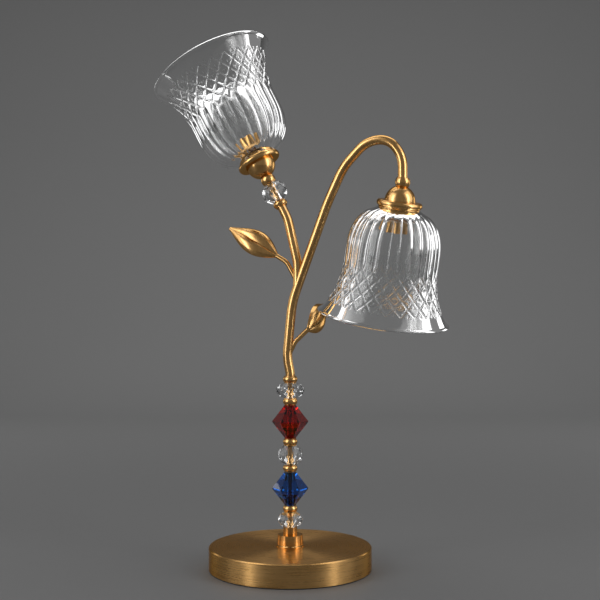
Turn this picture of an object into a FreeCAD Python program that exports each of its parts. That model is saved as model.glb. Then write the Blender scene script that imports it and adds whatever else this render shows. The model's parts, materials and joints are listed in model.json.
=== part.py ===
"""Tulip shade table lamp: a brass stem on a round base, with one shade hanging and one opening upward.

Frame: millimetres, +Z up, origin at the centre of the base's underside. Both arms lie in the XZ plane,
with the hanging shade on the +X side.
"""
import FreeCAD, Part
import math
import os

import Sketcher

os.makedirs("parts", exist_ok=True)

Vector = FreeCAD.Vector
Rotation = FreeCAD.Rotation
Placement = FreeCAD.Placement

doc = FreeCAD.newDocument("tulip_shade_table_lamp")

# ---------------------------------------------------------------------------------------------
# Driving dimensions
# ---------------------------------------------------------------------------------------------
SIZES = [
    # base
    ("pad_thickness", 1.0), ("pad_inset", 0.7),
    ("base_diameter", 160.0), ("base_height", 22.0), ("base_bevel", 1.0), ("base_wall", 1.2),
    ("weight_clearance", 3.8), ("weight_thickness", 12.0),
    ("washer_diameter", 28.0), ("washer_thickness", 1.2),
    ("nut_flats", 17.0), ("nut_thickness", 5.0),
    ("bush_height", 8.0), ("bush_bore", 5.6), ("bush_wall", 1.2), ("bush_flange", 1.8),
    ("bush_clearance", 0.4), ("bush_fit", 0.05),
    # column, from the base up
    ("rod_diameter", 6.0), ("rod_bore", 3.6), ("rod_clearance", 0.2), ("rod_overlap", 3.0),
    ("foot_lip_diameter", 27.4), ("foot_lip_height", 1.4), ("foot_bottom_diameter", 25.6),
    ("foot_top_diameter", 24.4), ("foot_height", 11.2),
    ("sleeve_diameter", 13.5), ("sleeve_height", 7.5),
    ("ring_diameter", 14.2), ("ring_land_diameter", 11.6), ("ring_height", 6.8), ("ring_groove", 0.5),
    ("low_rondelle_diameter", 25.0), ("low_rondelle_height", 14.3),
    ("round_bead_diameter", 25.5), ("round_bead_height", 19.1),
    ("top_rondelle_diameter", 28.0), ("top_rondelle_height", 14.8),
    ("bicone_diameter", 35.2), ("bicone_height", 33.0), ("bicone_end_diameter", 10.4),
    ("bicone_girdle", 1.2), ("bicone_turn", 22.0), ("bead_table_share", 0.52),
    ("bead_shoulder_share", 0.86), ("rondelle_facets", 14.0), ("bicone_facets", 6.0),
    # main stem
    ("tube_diameter", 9.1), ("tube_bore", 6.4),
    ("stem_kick_height", 3.4), ("stem_kick_back", 3.4), ("stem_kick_rise", 18.0),
    ("stem_lean_out", 2.2), ("stem_lean_height", 73.0),
    ("stem_shoulder_out", 39.4), ("stem_shoulder_height", 169.5),
    ("stem_turn_out", 55.8), ("stem_turn_height", 203.0),
    ("arch_left_out", 79.5), ("arch_height", 227.2),
    ("arch_right_out", 102.0), ("drop_out", 115.0), ("drop_height", 210.5),
    ("kick_bend", 24.0), ("back_bend", 50.0), ("soft_bend", 90.0), ("shoulder_bend", 260.0),
    ("turn_bend", 60.0), ("arch_bend", 29.5), ("crown_bend", 20.0), ("drop_bend", 29.0),
    ("right_ball_height", 375.9), ("tube_seat", 2.8),
    # left arm
    ("branch_out", 8.0), ("branch_start", 88.0), ("branch_bend_height", 110.5), ("arm_bend", 45.0),
    ("arm_knee_run", 14.0), ("arm_tube_diameter", 9.0), ("arm_tube_bore", 5.0),
    ("arm_ring_height", 6.4), ("arm_bead_diameter", 26.0), ("arm_bead_height", 19.6),
    # shade holders: lengths run along each holder's axis from the face of its gallery
    ("left_holder_out", -33.6), ("left_holder_height", 402.1), ("left_tilt", 28.3),
    ("right_tilt", 10.6), ("right_lean", 6.5),
    ("neck_ball_diameter", 14.4), ("neck_ball_offset", 21.2), ("neck_ball_flat", 4.6),
    ("dome_diameter", 29.5), ("dome_wall", 1.2), ("dome_top_diameter", 13.0),
    ("gallery_diameter", 43.8), ("gallery_web", 3.0), ("gallery_skirt", 2.4), ("gallery_wall", 0.6),
    ("gallery_round", 1.3), ("gasket_diameter", 36.0), ("nipple_seat", 0.4),
    ("nipple_diameter", 9.6), ("nipple_bore", 6.0), ("nipple_overrun", 5.0),
    ("gasket_thickness", 1.0), ("running_gap", 0.3),
    ("lampholder_diameter", 18.0), ("lampholder_length", 18.0), ("pin_slot_width", 2.4),
    ("pin_slot_length", 4.2), ("pin_slot_spacing", 9.0), ("pin_slot_depth", 9.0),
    ("lamp_sleeve_diameter", 20.6), ("lamp_sleeve_bore", 18.6), ("lamp_sleeve_reach", 27.0),
    ("clamp_collar_diameter", 29.0), ("clamp_collar_thickness", 2.0),
    # glass shades
    ("shade_length", 111.5), ("shade_wall", 3.2), ("shade_web", 3.0), ("shade_hole_diameter", 22.0),
    ("shade_neck_diameter", 39.2), ("shade_shoulder_diameter", 74.6), ("shade_waist_diameter", 89.2),
    ("shade_rim_diameter", 128.0), ("shade_lip", 4.4), ("flute_depth", 1.7), ("flute_reach", 70.0),
    ("flute_count", 24.0), ("flute_start", 5.0), ("flute_fade", 14.0), ("flute_rings", 9.0),
    ("shade_neck_round", 1.6), ("shoulder_along", 16.0),
    ("net_top_share", 0.563), ("net_foot_share", 0.901), ("net_half_rows", 5.0),
    ("net_groove_depth", 1.2), ("net_diamond_share", 0.77),
    # leaves
    ("leaf_length", 57.7), ("leaf_width", 26.0), ("leaf_puff", 5.0), ("leaf_crease", 1.6),
    ("leaf_tip_width", 3.2), ("leaf_root_width", 5.2), ("leaf_stalk_diameter", 4.6),
    ("leaf_stalk_overlap", 2.0), ("leaf_arch", 3.0), ("leaf_under_share", 0.55),
    ("stalk_bend", 14.0),
    ("left_start_out", 7.0), ("left_start_up", 93.1), ("left_knee_out", -3.6), ("left_knee_up", 112.0),
    ("left_root_out", -16.5), ("left_root_up", 119.4), ("left_tip_out", -67.1), ("left_tip_up", 147.2),
    ("right_start_out", -3.0), ("right_start_up", 17.6), ("right_knee_out", 4.6), ("right_knee_up", 33.6),
    ("right_root_out", 16.4), ("right_root_up", 46.2), ("right_tip_out", 12.2), ("right_tip_up", 70.1),
    ("right_knee_back", 1.8), ("right_root_back", 7.5), ("right_tip_back", 60.0),
]

sheet = doc.addObject("Spreadsheet::Sheet", "sizes")
for row, (alias, amount) in enumerate(SIZES, start=1):
    sheet.set(f"A{row}", str(amount))
    sheet.setAlias(f"A{row}", alias)
doc.recompute()


class Size:
    """A number together with the sheet expression that gives it, so that both stay in step."""

    def __init__(self, amount, text):
        self.amount = float(amount)
        self.text = text

    @staticmethod
    def of(other):
        return other if isinstance(other, Size) else Size(other, repr(float(other)))

    def __add__(self, other):
        other = Size.of(other)
        return Size(self.amount + other.amount, f"({self.text} + {other.text})")

    def __sub__(self, other):
        other = Size.of(other)
        return Size(self.amount - other.amount, f"({self.text} - {other.text})")

    def __mul__(self, other):
        other = Size.of(other)
        return Size(self.amount * other.amount, f"({self.text} * {other.text})")

    def __truediv__(self, other):
        other = Size.of(other)
        return Size(self.amount / other.amount, f"({self.text} / {other.text})")

    def __neg__(self):
        return Size(-self.amount, f"(0 - {self.text})")

    def root(self):
        """The square root."""
        return Size(math.sqrt(self.amount), f"sqrt({self.text})")


size = {alias: Size(amount, f"sizes.{alias}") for alias, amount in SIZES}
nodes = {}


def radius(alias):
    """Half of the diameter that this alias holds."""
    return size[alias] / 2


# ---------------------------------------------------------------------------------------------
# How pieces are made
# ---------------------------------------------------------------------------------------------
def origin_plane(body, role):
    """The body's own origin plane of this role."""
    for feature in body.Origin.OriginFeatures:
        if feature.Role == role:
            return feature
    raise RuntimeError(f"{body.Name} has no {role}")


def new_sketch(body, name, role, offset=0.0):
    """A sketch on one of the body's own origin planes."""
    sketch = body.newObject("Sketcher::SketchObject", name)
    sketch.AttachmentSupport = [(origin_plane(body, role), "")]
    sketch.MapMode = "FlatFace"
    sketch.AttachmentOffset = Placement(Vector(0, 0, offset), Rotation())
    return sketch


def arc_middle(start, end, bow):
    """The middle point of an arc from start to end that swells by bow to the left of its chord."""
    chord = end - start
    side = Vector(-chord.y, chord.x, 0).normalize()
    return (start + end) / 2 + side * bow


def sketch_arc(start, middle, end):
    """An arc drawn counterclockwise, the one way round that a sketch keeps its ends in order."""
    if (middle - start).cross(end - middle).z > 0:
        return Part.Arc(start, middle, end)
    return Part.Arc(end, middle, start)


def draw_outline(sketch, outline):
    """Draw a closed outline of (across, up) sizes, each point tied to the sheet.

    A third entry is the radius of the arc that leads on to the next point; a positive one swells to the
    right of the way round, a negative one to the left.
    """
    points = [Vector(entry[0].amount, entry[1].amount, 0) for entry in outline]
    edges = []
    for index, entry in enumerate(outline):
        start = points[index]
        end = points[(index + 1) % len(points)]
        if len(entry) == 3:
            bend = entry[2].amount
            half = (end - start).Length / 2
            rise = abs(bend) - math.sqrt(max(bend * bend - half * half, 0.0))
            middle = arc_middle(start, end, -math.copysign(rise, bend))
            edges.append(sketch.addGeometry(sketch_arc(start, middle, end)))
        else:
            edges.append(sketch.addGeometry(Part.LineSegment(start, end)))
    for index, entry in enumerate(outline):
        edge = edges[index]
        following = edges[(index + 1) % len(edges)]
        first, last = 1, 2
        if len(entry) == 3:
            if (sketch.Geometry[edge].StartPoint - points[index]).Length > 1e-6:
                first, last = 2, 1
        next_first = 1
        if len(outline[(index + 1) % len(outline)]) == 3:
            begin = points[(index + 1) % len(points)]
            if (sketch.Geometry[following].StartPoint - begin).Length > 1e-6:
                next_first = 2
        sketch.addConstraint(Sketcher.Constraint("Coincident", edge, last, following, next_first))
        for kind, measure in (("DistanceX", entry[0]), ("DistanceY", entry[1])):
            number = sketch.addConstraint(
                Sketcher.Constraint(kind, -1, 1, edge, first, measure.amount))
            sketch.setExpression(f"Constraints[{number}]", measure.text)
        if len(entry) == 3:
            number = sketch.addConstraint(Sketcher.Constraint("Radius", edge, abs(entry[2].amount)))
            text = entry[2].text if entry[2].amount > 0 else (-entry[2]).text
            sketch.setExpression(f"Constraints[{number}]", text)


def turned(label, outline, place=None):
    """A turned piece: a closed outline in the XZ plane, revolved about Z."""
    body = doc.addObject("PartDesign::Body", label)
    body.Label = label
    sketch = new_sketch(body, f"{label}_outline", "XZ_Plane")
    draw_outline(sketch, outline)
    revolution = body.newObject("PartDesign::Revolution", f"{label}_turned")
    revolution.Profile = sketch
    revolution.ReferenceAxis = (sketch, ["V_Axis"])
    revolution.Angle = 360
    if place is not None:
        body.Placement = place
    nodes[label] = body
    return body


def at_height(body, height):
    """Stand a piece at this height on the column, tied to the sheet."""
    body.setExpression("Placement.Base.z", height.text)


def tube_outline(outer, inner, bottom, top):
    """A plain tube: outer and inner radius, bottom and top."""
    return [(outer, bottom), (outer, top), (inner, top), (inner, bottom)]


# ---------------------------------------------------------------------------------------------
# Base: a spun cover over a steel weight, on a soft pad
# ---------------------------------------------------------------------------------------------
ZERO = Size(0, "0")
rod_hole = radius("rod_diameter") + size["rod_clearance"]
cover_bottom = size["pad_thickness"]
cover_top = cover_bottom + size["base_height"]
cover_inside = cover_top - size["base_wall"]
base_radius = radius("base_diameter")

pad_radius = base_radius - size["pad_inset"]
turned("base_pad", [(pad_radius, ZERO), (pad_radius, cover_bottom), (ZERO, cover_bottom), (ZERO, ZERO)])

cover = turned("base_cover_blank", [
    (base_radius, cover_bottom),
    (base_radius, cover_top - size["base_bevel"]),
    (base_radius - size["base_bevel"], cover_top),
    (rod_hole, cover_top),
    (rod_hole, cover_inside),
    (base_radius - size["base_wall"], cover_inside),
    (base_radius - size["base_wall"], cover_bottom)])

weight_bottom = cover_inside - size["weight_thickness"]
weight_radius = base_radius - size["base_wall"] - size["weight_clearance"]
turned("base_weight", tube_outline(weight_radius, rod_hole, weight_bottom, cover_inside))

washer_bottom = weight_bottom - size["washer_thickness"]
turned("base_washer", tube_outline(radius("washer_diameter"), rod_hole, washer_bottom, weight_bottom))

nut_bottom = washer_bottom - size["nut_thickness"]
nut_blank = doc.addObject("Part::Prism", "base_nut_blank")
nut_blank.Polygon = 6
nut_blank.setExpression("Circumradius", (size["nut_flats"] / math.sqrt(3.0)).text)
nut_blank.setExpression("Height", size["nut_thickness"].text)
nut_hole = doc.addObject("Part::Cylinder", "base_nut_hole")
nut_hole.setExpression("Radius", rod_hole.text)
nut_hole.setExpression("Height", size["nut_thickness"].text)
base_nut = doc.addObject("Part::Cut", "base_nut")
base_nut.Base = nut_blank
base_nut.Tool = nut_hole
at_height(base_nut, nut_bottom)
nodes["base_nut"] = base_nut

# The cable leaves through a bushed hole at the back, where the wall is plain.
bush_outer = size["bush_bore"] / 2 + size["bush_wall"]
bush_hole = doc.addObject("Part::Cylinder", "base_cable_hole")
bush_hole.setExpression("Radius", (bush_outer + size["bush_fit"]).text)
bush_hole.setExpression("Height", (size["base_wall"] * 4).text)
bush_hole.setExpression("Placement.Base.y", (base_radius - size["base_wall"] * 3).text)
bush_hole.setExpression("Placement.Base.z", (cover_bottom + size["bush_height"]).text)
bush_hole.Placement.Rotation = Rotation(Vector(1, 0, 0), -90)
base_cover = doc.addObject("Part::Cut", "base_cover")
base_cover.Base = nodes.pop("base_cover_blank")
base_cover.Tool = bush_hole
nodes["base_cover"] = base_cover

bush_flange_radius = bush_outer + size["bush_wall"]
cable_bush = turned("cable_bush", [
    (bush_flange_radius, ZERO), (bush_flange_radius, size["bush_wall"]),
    (bush_outer, size["bush_wall"]), (bush_outer, size["bush_wall"] + size["bush_flange"]),
    (size["bush_bore"] / 2, size["bush_wall"] + size["bush_flange"]), (size["bush_bore"] / 2, ZERO)])
cable_bush.Placement.Rotation = Rotation(Vector(1, 0, 0), -90)
bush_back = base_radius - size["base_wall"] - size["bush_clearance"] - size["bush_wall"]
cable_bush.setExpression("Placement.Base.y", bush_back.text)
cable_bush.setExpression("Placement.Base.z", (cover_bottom + size["bush_height"]).text)


# ---------------------------------------------------------------------------------------------
# Column: collars, spacer rings and cut glass beads threaded on one hollow rod
# ---------------------------------------------------------------------------------------------
def spacer_ring(label, height, place=None, hole=rod_hole, tall=size["ring_height"]):
    """A turned ring with a rounded belly between two flat lands."""
    land = radius("ring_land_diameter")
    belly = radius("ring_diameter")
    groove = size["ring_groove"]
    swell = math.hypot(tall.amount / 2 - groove.amount, belly.amount - land.amount)
    bow = belly.amount - land.amount
    bend = Size((swell * swell) / (2 * bow), f"{(swell * swell) / (2 * bow)!r}")
    ring = turned(label, [(land, ZERO), (land, groove, bend), (land, tall - groove),
                          (land, tall), (hole, tall), (hole, ZERO)], place)
    if place is None:
        at_height(ring, height)
    return ring


def cut_bead(label, facets, levels, height, place=None, hole=rod_hole, turn=0.0):
    """A faceted bead: regular polygons of (radius, level) joined by flat facets and bored through."""
    polygons = []
    for number, (corner, level) in enumerate(levels):
        polygon = doc.addObject("Part::RegularPolygon", f"{label}_level_{number}")
        polygon.Polygon = facets
        polygon.setExpression("Circumradius", corner.text)
        polygon.Placement.Rotation = Rotation(Vector(0, 0, 1), turn)
        polygon.setExpression("Placement.Base.z", level.text)
        polygons.append(polygon)
    blank = doc.addObject("Part::Loft", f"{label}_blank")
    blank.Sections = polygons
    blank.Solid = True
    blank.Ruled = True
    drill = doc.addObject("Part::Cylinder", f"{label}_drill")
    drill.setExpression("Radius", hole.text)
    drill.setExpression("Height", levels[-1][1].text)
    bead = doc.addObject("Part::Cut", label)
    bead.Base = blank
    bead.Tool = drill
    if place is None:
        at_height(bead, height)
    else:
        bead.Placement = place
    nodes[label] = bead
    return bead


def rondelle(label, across, tall, height, place=None, hole=rod_hole):
    """A flattened bead with a broad belt of facets between two sloping crowns."""
    facets = int(size["rondelle_facets"].amount)
    belt = across / 2
    table = belt * size["bead_table_share"]
    shoulder = belt * size["bead_shoulder_share"]
    cut_bead(label, facets, [(table, ZERO), (shoulder, tall * 0.17), (belt, tall * 0.38),
                             (belt, tall * 0.62), (shoulder, tall * 0.83), (table, tall)],
             height, place, hole, turn=180.0 / facets)


def bicone(label, height):
    """A six-sided double pyramid with blunt ends and a narrow girdle."""
    tall = size["bicone_height"]
    belt = size["bicone_girdle"] / 2
    facets = int(size["bicone_facets"].amount)
    cut_bead(label, facets, [(radius("bicone_end_diameter"), ZERO),
                             (radius("bicone_diameter"), tall / 2 - belt),
                             (radius("bicone_diameter"), tall / 2 + belt),
                             (radius("bicone_end_diameter"), tall)],
             height, turn=size["bicone_turn"].amount)


level = cover_top
turned("foot_collar", [
    (radius("foot_lip_diameter"), ZERO),
    (radius("foot_lip_diameter"), size["foot_lip_height"] * 0.5),
    (radius("foot_bottom_diameter"), size["foot_lip_height"]),
    (radius("foot_top_diameter"), size["foot_height"]),
    (rod_hole, size["foot_height"]), (rod_hole, ZERO)])
at_height(nodes["foot_collar"], level)
level = level + size["foot_height"]

turned("collar_sleeve", tube_outline(radius("sleeve_diameter"), rod_hole, ZERO, size["sleeve_height"]))
at_height(nodes["collar_sleeve"], level)
level = level + size["sleeve_height"]

rondelle("low_crystal", size["low_rondelle_diameter"], size["low_rondelle_height"], level)
level = level + size["low_rondelle_height"]
spacer_ring("ring_low", level)
level = level + size["ring_height"]
bicone("blue_bead", level)
level = level + size["bicone_height"]
spacer_ring("ring_above_blue", level)
level = level + size["ring_height"]
rondelle("middle_crystal", size["round_bead_diameter"], size["round_bead_height"], level)
level = level + size["round_bead_height"]
spacer_ring("ring_below_red", level)
level = level + size["ring_height"]
bicone("red_bead", level)
level = level + size["bicone_height"]
spacer_ring("ring_above_red", level)
level = level + size["ring_height"]
rondelle("top_crystal", size["top_rondelle_diameter"], size["top_rondelle_height"], level)
level = level + size["top_rondelle_height"]
spacer_ring("ring_top", level)
stem_bottom = level + size["ring_height"]

turned("column_rod", tube_outline(radius("rod_diameter"), size["rod_bore"] / 2, nut_bottom,
                                  stem_bottom + size["rod_overlap"]))


# ---------------------------------------------------------------------------------------------
# Bent tubes
# ---------------------------------------------------------------------------------------------
def rounded_path(corners, bends, arc):
    """Straight runs between the corners, joined by tangent arcs of these bend radii; arc draws each one."""
    pieces = []
    last = corners[0]
    for index, bend in enumerate(bends, start=1):
        corner = corners[index]
        inward = (corners[index - 1] - corner).normalize()
        onward = (corners[index + 1] - corner).normalize()
        half_turn = (math.pi - inward.getAngle(onward)) / 2
        reach = bend * math.tan(half_turn)
        begin = corner + inward * reach
        end = corner + onward * reach
        middle_way = (inward + onward).normalize()
        depth = bend / math.cos(half_turn) - bend
        pieces.append(Part.LineSegment(last, begin))
        pieces.append(arc(begin, corner + middle_way * depth, end))
        last = end
    pieces.append(Part.LineSegment(last, corners[-1]))
    return pieces


def shared_ends(before, after):
    """The ends, 1 for a start and 2 for an end, at which two edges of a path meet."""
    tails = {1: before.StartPoint, 2: before.EndPoint}
    heads = {1: after.StartPoint, 2: after.EndPoint}
    gaps = {(tail, head): (tails[tail] - heads[head]).Length for tail in tails for head in heads}
    return min(gaps, key=gaps.get)


def bent_tube(label, corners, bends, outer, bore):
    """A tube drawn along a bent path in the XZ plane; the path starts upright."""
    body = doc.addObject("PartDesign::Body", label)
    path = new_sketch(body, f"{label}_path", "XZ_Plane")
    for piece in rounded_path(corners, bends, sketch_arc):
        path.addGeometry(piece)
    for following in range(1, path.GeometryCount):
        joint = shared_ends(path.Geometry[following - 1], path.Geometry[following])
        path.addConstraint(Sketcher.Constraint("Coincident", following - 1, joint[0], following, joint[1]))
    ring = new_sketch(body, f"{label}_section", "XY_Plane", corners[0].y)
    centre = Vector(corners[0].x, 0, 0)
    for wall in [outer] if bore is None else [outer, bore]:
        edge = ring.addGeometry(Part.Circle(centre, Vector(0, 0, 1), wall.amount))
        number = ring.addConstraint(Sketcher.Constraint("Radius", edge, wall.amount))
        ring.setExpression(f"Constraints[{number}]", wall.text)
    pipe = body.newObject("PartDesign::AdditivePipe", f"{label}_pipe")
    pipe.Profile = ring
    pipe.Spine = path
    return body


def path_point(out, up):
    """A corner of a bent path: how far out along X, and how high."""
    return Vector(out, up, 0)


stem_foot = stem_bottom.amount
tilt = {"left": math.radians(size["left_tilt"].amount), "right": math.radians(size["right_tilt"].amount)}
lean = math.radians(size["right_lean"].amount)
mouth_way = {
    "left": Vector(-math.sin(tilt["left"]), 0, math.cos(tilt["left"])),
    "right": Vector(-math.sin(tilt["right"]) * math.cos(lean), math.sin(lean),
                    -math.cos(tilt["right"]) * math.cos(lean)),
}
ball_back = size["neck_ball_offset"].amount
right_ball = Vector(size["drop_out"].amount, 0, size["right_ball_height"].amount)
gallery_face = {
    "left": Vector(size["left_holder_out"].amount, 0, size["left_holder_height"].amount),
    "right": right_ball + mouth_way["right"] * ball_back,
}
tube_end = right_ball.z + size["tube_seat"].amount

stem_corners = [
    path_point(0, stem_foot),
    path_point(0, stem_foot + size["stem_kick_height"].amount),
    path_point(-size["stem_kick_back"].amount, stem_foot + size["stem_kick_rise"].amount),
    path_point(size["stem_lean_out"].amount, stem_foot + size["stem_lean_height"].amount),
    path_point(size["stem_shoulder_out"].amount, stem_foot + size["stem_shoulder_height"].amount),
    path_point(size["stem_turn_out"].amount, stem_foot + size["stem_turn_height"].amount),
    path_point(size["arch_left_out"].amount, stem_foot + size["arch_height"].amount),
    path_point(size["arch_right_out"].amount, stem_foot + size["arch_height"].amount),
    path_point(size["drop_out"].amount, stem_foot + size["drop_height"].amount),
    path_point(size["drop_out"].amount, tube_end),
]
stem_bends = [size[name].amount for name in ("kick_bend", "back_bend", "soft_bend", "shoulder_bend",
                                             "turn_bend", "arch_bend", "crown_bend", "drop_bend")]
tube_radius = radius("tube_diameter")
stem_tube = bent_tube("main_stem_tube", stem_corners, stem_bends, tube_radius, size["tube_bore"] / 2)
stem_envelope = bent_tube("main_stem_envelope", stem_corners, stem_bends, tube_radius, None)

arm_axis = mouth_way["left"]
bead_face = size["neck_ball_offset"] + size["neck_ball_flat"]
arm_end_back = bead_face + size["arm_bead_height"] + size["arm_ring_height"]
arm_end = gallery_face["left"] - arm_axis * arm_end_back.amount
arm_knee = arm_end - arm_axis * size["arm_knee_run"].amount
arm_corners = [
    path_point(size["branch_out"].amount, stem_foot + size["branch_start"].amount),
    path_point(size["branch_out"].amount, stem_foot + size["branch_bend_height"].amount),
    path_point(arm_knee.x, arm_knee.z),
    path_point(arm_end.x, arm_end.z),
]
arm_bends = [size["arm_bend"].amount, size["arm_bend"].amount]
arm_blank = bent_tube("left_arm_blank", arm_corners, arm_bends, radius("arm_tube_diameter"),
                      size["arm_tube_bore"] / 2)
arm_core = bent_tube("left_arm_core", arm_corners, arm_bends, size["arm_tube_bore"] / 2, None)

left_arm = doc.addObject("Part::Cut", "left_arm")
left_arm.Base = arm_blank
left_arm.Tool = stem_envelope
nodes["left_arm"] = left_arm

main_stem = doc.addObject("Part::Cut", "main_stem")
main_stem.Base = stem_tube
main_stem.Tool = arm_core
nodes["main_stem"] = main_stem


# ---------------------------------------------------------------------------------------------
# Shade holders: built along +Z towards the shade's mouth, from the face of the gallery
# ---------------------------------------------------------------------------------------------
def on_axis(side, along=0.0):
    """The placement of a piece on a holder's axis, this far beyond the gallery's face."""
    way = mouth_way[side]
    return Placement(gallery_face[side] + way * along, Rotation(Vector(0, 0, 1), way))


nipple_radius = radius("nipple_diameter")
web_back = -size["gallery_web"]
ball_centre = -size["neck_ball_offset"]
ball_front = ball_centre + size["neck_ball_flat"]
ball_rear = ball_centre - size["neck_ball_flat"]
ball_radius = radius("neck_ball_diameter")
ball_land = (ball_radius * ball_radius - size["neck_ball_flat"] * size["neck_ball_flat"]).root()
nipple_start = ball_centre + size["nipple_seat"]
clamp_level = size["gasket_thickness"] + size["running_gap"] + size["shade_web"] + size["running_gap"]


def neck_ball(side):
    """The bored ball between the arm and the dome."""
    label = f"{side}_neck_ball"
    outline = [(ball_land, ball_rear, ball_radius), (ball_land, ball_front),
               (nipple_radius, ball_front), (nipple_radius, nipple_start),
               (rod_hole, nipple_start), (rod_hole, ball_rear)]
    if side == "left":
        turned(label, outline, on_axis(side))
        return
    blank = turned(f"{label}_blank", outline, on_axis(side))
    nodes.pop(f"{label}_blank")
    socket = doc.addObject("Part::Cylinder", f"{label}_socket")
    socket.setExpression("Radius", tube_radius.text)
    socket.setExpression("Height", radius("neck_ball_diameter").text)
    socket.Placement = Placement(Vector(right_ball.x, 0, tube_end), Rotation())
    ball = doc.addObject("Part::Cut", label)
    ball.Base = blank
    ball.Tool = socket
    nodes[label] = ball


def dome_cup(side):
    """The spun dome that covers the joint; its walls meet the gallery square."""
    spread = radius("dome_diameter") - radius("dome_top_diameter")
    rise = web_back - ball_front
    outer_bend = (spread * spread + rise * rise) / (spread * 2)
    wall = size["dome_wall"]
    inner_bend = outer_bend - wall
    inner_rise = rise - wall
    inner_top = (inner_bend * inner_bend - inner_rise * inner_rise).root()
    inner_top = inner_top + radius("dome_diameter") - outer_bend
    turned(f"{side}_dome", [
        (radius("dome_top_diameter"), ball_front, outer_bend),
        (radius("dome_diameter"), web_back),
        (radius("dome_diameter") - wall, web_back, -inner_bend),
        (inner_top, ball_front + wall),
        (nipple_radius, ball_front + wall), (nipple_radius, ball_front)], on_axis(side))


def gallery(side):
    """The round plate with a rounded edge whose skirt hides the top of the glass."""
    edge = radius("gallery_diameter") - size["gallery_round"]
    tall = size["gallery_web"] + size["gallery_skirt"]
    bow = size["gallery_round"]
    bend = (tall * tall / 4 + bow * bow) / (bow * 2)
    skirt_bore = edge - size["gallery_wall"]
    turned(f"{side}_gallery", [
        (edge, web_back, bend), (edge, size["gallery_skirt"]),
        (skirt_bore, size["gallery_skirt"]), (skirt_bore, ZERO),
        (nipple_radius, ZERO), (nipple_radius, web_back)], on_axis(side))


def lampholder(side):
    """A ceramic holder with two pin slots in its mouth."""
    label = f"{side}_lampholder"
    body_radius = radius("lampholder_diameter")
    seat = size["nipple_overrun"]
    length = size["lampholder_length"]
    blank = turned(f"{label}_blank", [
        (body_radius, ZERO), (body_radius, length), (ZERO, length), (ZERO, seat),
        (nipple_radius, seat), (nipple_radius, ZERO)])
    nodes.pop(f"{label}_blank")
    slots = []
    for number, way in enumerate((-1, 1)):
        slot = doc.addObject("Part::Box", f"{label}_slot_{number}")
        slot.setExpression("Length", size["pin_slot_width"].text)
        slot.setExpression("Width", size["pin_slot_length"].text)
        slot.setExpression("Height", size["pin_slot_depth"].text)
        centre = size["pin_slot_spacing"] * (way / 2)
        slot.setExpression("Placement.Base.x", (centre - size["pin_slot_width"] / 2).text)
        slot.setExpression("Placement.Base.y", (-size["pin_slot_length"] / 2).text)
        slot.setExpression("Placement.Base.z", (length - size["pin_slot_depth"]).text)
        slots.append(slot)
    pair = doc.addObject("Part::MultiFuse", f"{label}_slots")
    pair.Shapes = slots
    holder = doc.addObject("Part::Cut", label)
    holder.Base = blank
    holder.Tool = pair
    holder.Placement = on_axis(side)
    nodes[label] = holder


def lamp_sleeve(side):
    """The brass sleeve over the holder; its collar draws the glass up to the gallery."""
    outer = radius("lamp_sleeve_diameter")
    collar = radius("clamp_collar_diameter")
    start = size["gasket_thickness"] + size["running_gap"]
    collar_top = clamp_level + size["clamp_collar_thickness"]
    turned(f"{side}_lamp_sleeve", [
        (outer, start), (outer, clamp_level), (collar, clamp_level), (collar, collar_top),
        (outer, collar_top), (outer, size["lamp_sleeve_reach"]),
        (size["lamp_sleeve_bore"] / 2, size["lamp_sleeve_reach"]),
        (size["lamp_sleeve_bore"] / 2, start)], on_axis(side))


for side in ("left", "right"):
    neck_ball(side)
    dome_cup(side)
    gallery(side)
    lampholder(side)
    lamp_sleeve(side)
    turned(f"{side}_nipple", tube_outline(nipple_radius, size["nipple_bore"] / 2, nipple_start,
                                          size["nipple_overrun"]), on_axis(side))
    turned(f"{side}_gasket", tube_outline(radius("gasket_diameter"), radius("shade_hole_diameter"),
                                          ZERO, size["gasket_thickness"]), on_axis(side))

# The left arm carries one more bead and ring below its ball, on a short rod of their own.
bead_back = (bead_face + size["arm_bead_height"]).amount
rondelle("left_arm_crystal", size["arm_bead_diameter"], size["arm_bead_height"], None,
         on_axis("left", -bead_back))
spacer_ring("left_arm_ring", None, on_axis("left", -arm_end_back.amount),
            tall=size["arm_ring_height"])
turned("left_arm_rod", tube_outline(radius("rod_diameter"), size["rod_bore"] / 2,
                                    -(arm_end_back), nipple_start), on_axis("left"))


# ---------------------------------------------------------------------------------------------
# Glass shades: a pressed bell, fluted from the neck to a band of crossed grooves above a plain flare
# ---------------------------------------------------------------------------------------------
def bell_curve():
    """The outside of the bell along the crests of the flutes, as a curve of (radius, 0, along)."""
    neck = radius("shade_neck_diameter").amount
    shoulder = radius("shade_shoulder_diameter").amount
    waist = radius("shade_waist_diameter").amount
    rim = radius("shade_rim_diameter").amount - size["shade_lip"].amount / 2
    top = clamp_level.amount - size["running_gap"].amount - size["shade_web"].amount
    bottom = size["shade_length"].amount - size["shade_lip"].amount / 2
    flare = rim - waist
    stations = [
        (neck - size["shade_neck_round"].amount, top),
        (neck, top + size["shade_neck_round"].amount),
        (neck + (shoulder - neck) * 0.56, size["shoulder_along"].amount * 0.53),
        (shoulder, size["shoulder_along"].amount),
        (shoulder + (waist - shoulder) * 0.63, size["shoulder_along"].amount * 1.56),
        (waist - 0.7, size["shoulder_along"].amount * 1.98),
        (waist + flare * 0.05, bottom * 0.545),
        (waist + flare * 0.20, bottom * 0.73),
        (waist + flare * 0.44, bottom * 0.845),
        (waist + flare * 0.73, bottom * 0.935),
        (rim, bottom),
    ]
    curve = Part.BSplineCurve()
    curve.interpolate([Vector(out, 0, along) for out, along in stations])
    return curve


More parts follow.
